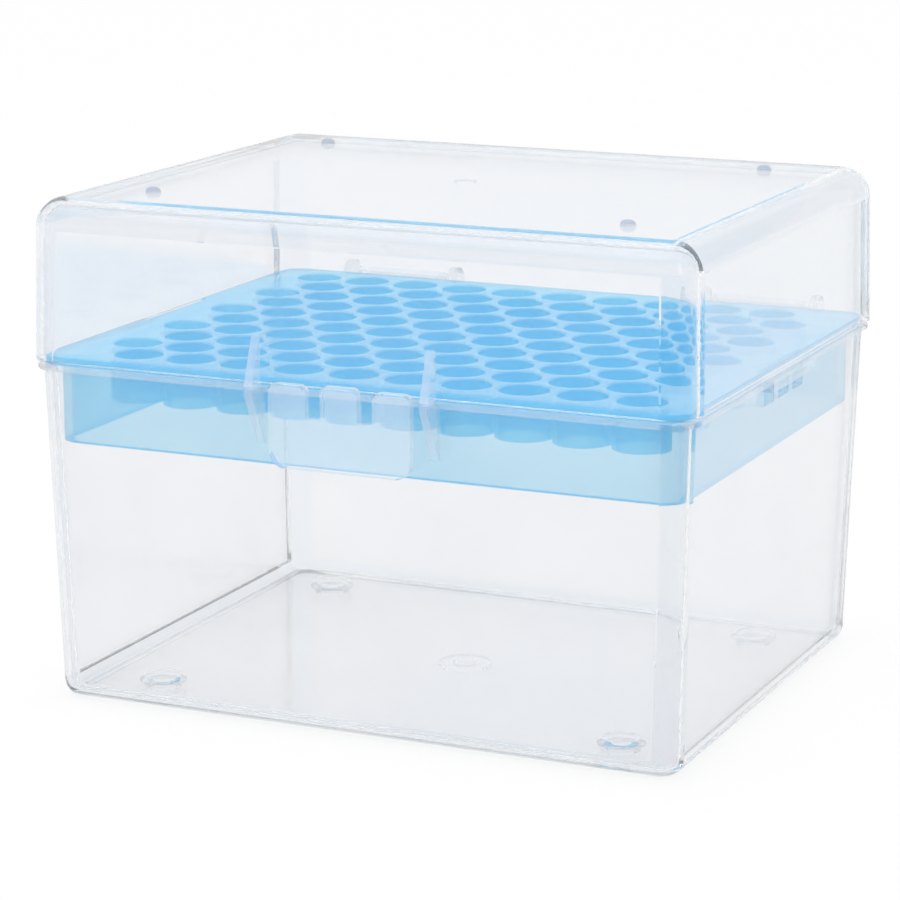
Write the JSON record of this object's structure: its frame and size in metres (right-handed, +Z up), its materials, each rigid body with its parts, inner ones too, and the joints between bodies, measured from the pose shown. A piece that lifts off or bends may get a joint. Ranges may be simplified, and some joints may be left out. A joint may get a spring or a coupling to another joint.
{
  "type": "pipette tip box",
  "caption": "Clear hinged box with a snap latch and a drop-in blue plate of collared holes that holds long pipette tips.",
  "frame": {"origin": "centre of the whole box in plan, on the surface that the tub stands on", "axes": "+X along the box to the right seen from the latch, +Y from the latch to the hinges, +Z up"},
  "size_m": [0.1268, 0.1126, 0.0923],
  "materials": {
    "clear_plastic": "clear, faintly hazy moulded polypropylene",
    "blue_plastic": "translucent blue moulded polypropylene"
  },
  "bodies": {
    "base": {"base_box": "clear_plastic", "tip_rack": "blue_plastic"},
    "lid": {"lid": "clear_plastic"}
  },
  "joints": [
    {"name": "lid_hinge", "type": "hinge", "parent": "base", "child": "lid", "pos_m": [0, 0.05306, 0.0616], "axis": [-1, 0, 0], "range_deg": [0, 110]}
  ]
}
